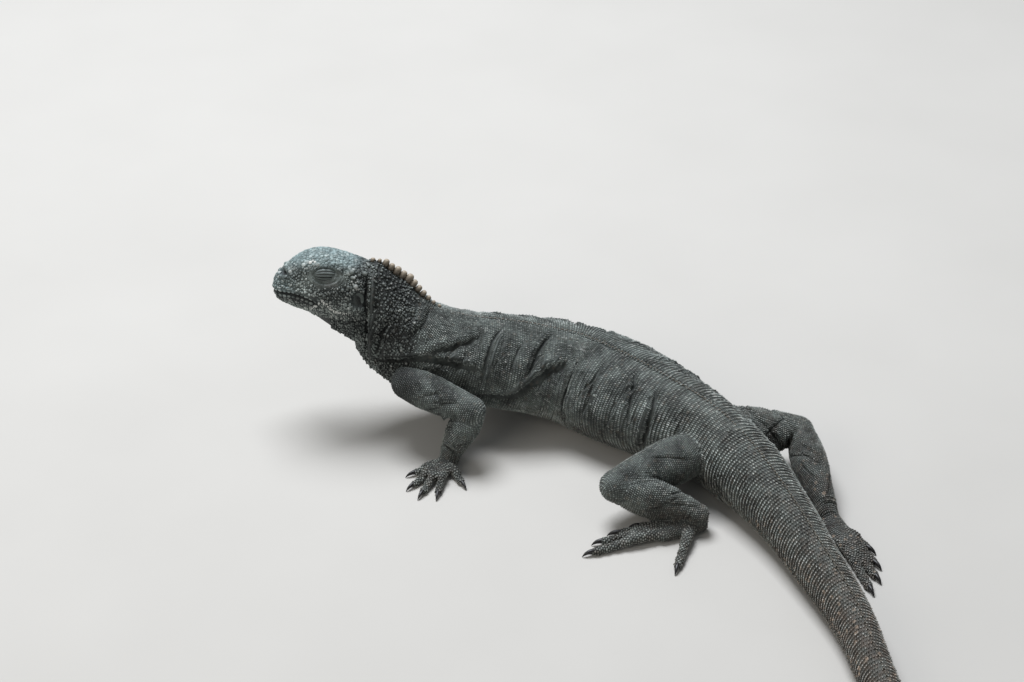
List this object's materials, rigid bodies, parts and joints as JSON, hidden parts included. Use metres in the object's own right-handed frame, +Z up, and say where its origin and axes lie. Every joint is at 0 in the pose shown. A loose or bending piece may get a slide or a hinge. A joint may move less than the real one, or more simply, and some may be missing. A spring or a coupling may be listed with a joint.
{
  "type": "marine iguana",
  "caption": "Still, life-size marine iguana, young, lying with its chest propped on its fore legs, eyes shut, low nape crest and long tail laid out.",
  "frame": {"origin": "on the floor, in the middle of the flat of the belly", "axes": "+X from the belly towards the hips and away from the head, -Y towards the animal's left side and the tip of the tail, +Z up from the floor"},
  "size_m": [0.3687, 0.4098, 0.0937],
  "materials": {
    "head_skin": "matt, blue-grey scaly skin with pale salt specks",
    "body_skin": "matt, charcoal skin of fine grey-speckled scales",
    "tail_skin": "matt, dark brown-grey skin of keeled scales in rings with tan spots",
    "leg_skin": "matt, charcoal-brown scaly skin with dark claws",
    "eyelid_skin": "satin, grey wrinkled lid skin",
    "eardrum_skin": "satin, smooth dark skin"
  },
  "bodies": {
    "root": {"head": "head_skin", "lower_jaw": "head_skin", "eyelid_left": "eyelid_skin", "eyelid_right": "eyelid_skin", "eardrum_left": "eardrum_skin", "eardrum_right": "eardrum_skin", "neck": "body_skin", "torso_front": "body_skin", "torso_rear": "body_skin", "tail_1": "tail_skin", "tail_2": "tail_skin", "tail_3": "tail_skin", "tail_4": "tail_skin", "tail_5": "tail_skin", "front_left_upper_arm": "leg_skin", "front_left_forearm": "leg_skin", "front_left_hand": "leg_skin", "front_right_upper_arm": "leg_skin", "front_right_forearm": "leg_skin", "front_right_hand": "leg_skin", "hind_left_thigh": "leg_skin", "hind_left_shank": "leg_skin", "hind_left_foot": "leg_skin", "hind_right_thigh": "leg_skin", "hind_right_shank": "leg_skin", "hind_right_foot": "leg_skin"}
  },
  "joints": []
}
